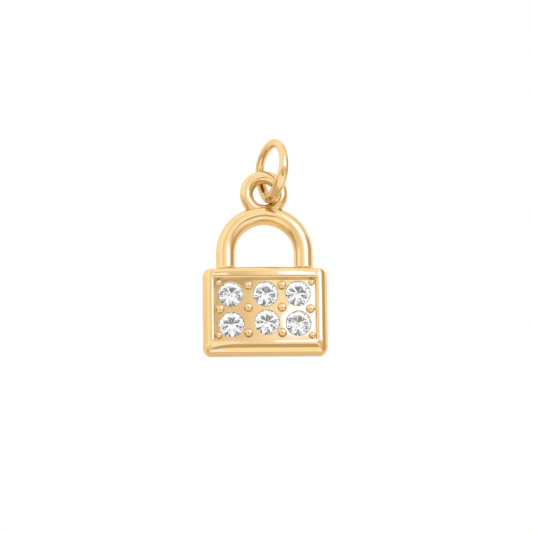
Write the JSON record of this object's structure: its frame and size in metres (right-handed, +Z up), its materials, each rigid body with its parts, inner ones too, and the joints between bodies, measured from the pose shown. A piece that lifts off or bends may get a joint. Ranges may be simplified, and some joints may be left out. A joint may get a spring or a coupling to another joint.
{
  "type": "padlock pendant",
  "caption": "Small padlock charm with a sunk front panel set with round cut stones between beads, a round shackle, a fixed eye and a jump ring to hang it by.",
  "frame": {"origin": "inner top of the jump ring, where a chain carries it", "axes": "+Z up as it hangs, -Y towards the front with the stones, +X to the right of someone who looks at the front"},
  "size_m": [0.0101, 0.0049, 0.0177],
  "materials": {
    "gold_plate": "polished gold plate on brass",
    "crystal": "clear faceted stone with a silvered back"
  },
  "bodies": {
    "ring": {"jump_ring": "gold_plate"},
    "charm": {"lock_casting": "gold_plate", "stone_top_left": "crystal", "stone_top_middle": "crystal", "stone_top_right": "crystal", "stone_bottom_left": "crystal", "stone_bottom_middle": "crystal", "stone_bottom_right": "crystal"}
  },
  "joints": [
    {"name": "charm_swing", "type": "hinge", "parent": "ring", "child": "charm", "pos_m": [-0.00067, 0.00099, -0.00365], "axis": [0, 1, 0], "range_deg": [-75, 75]}
  ]
}
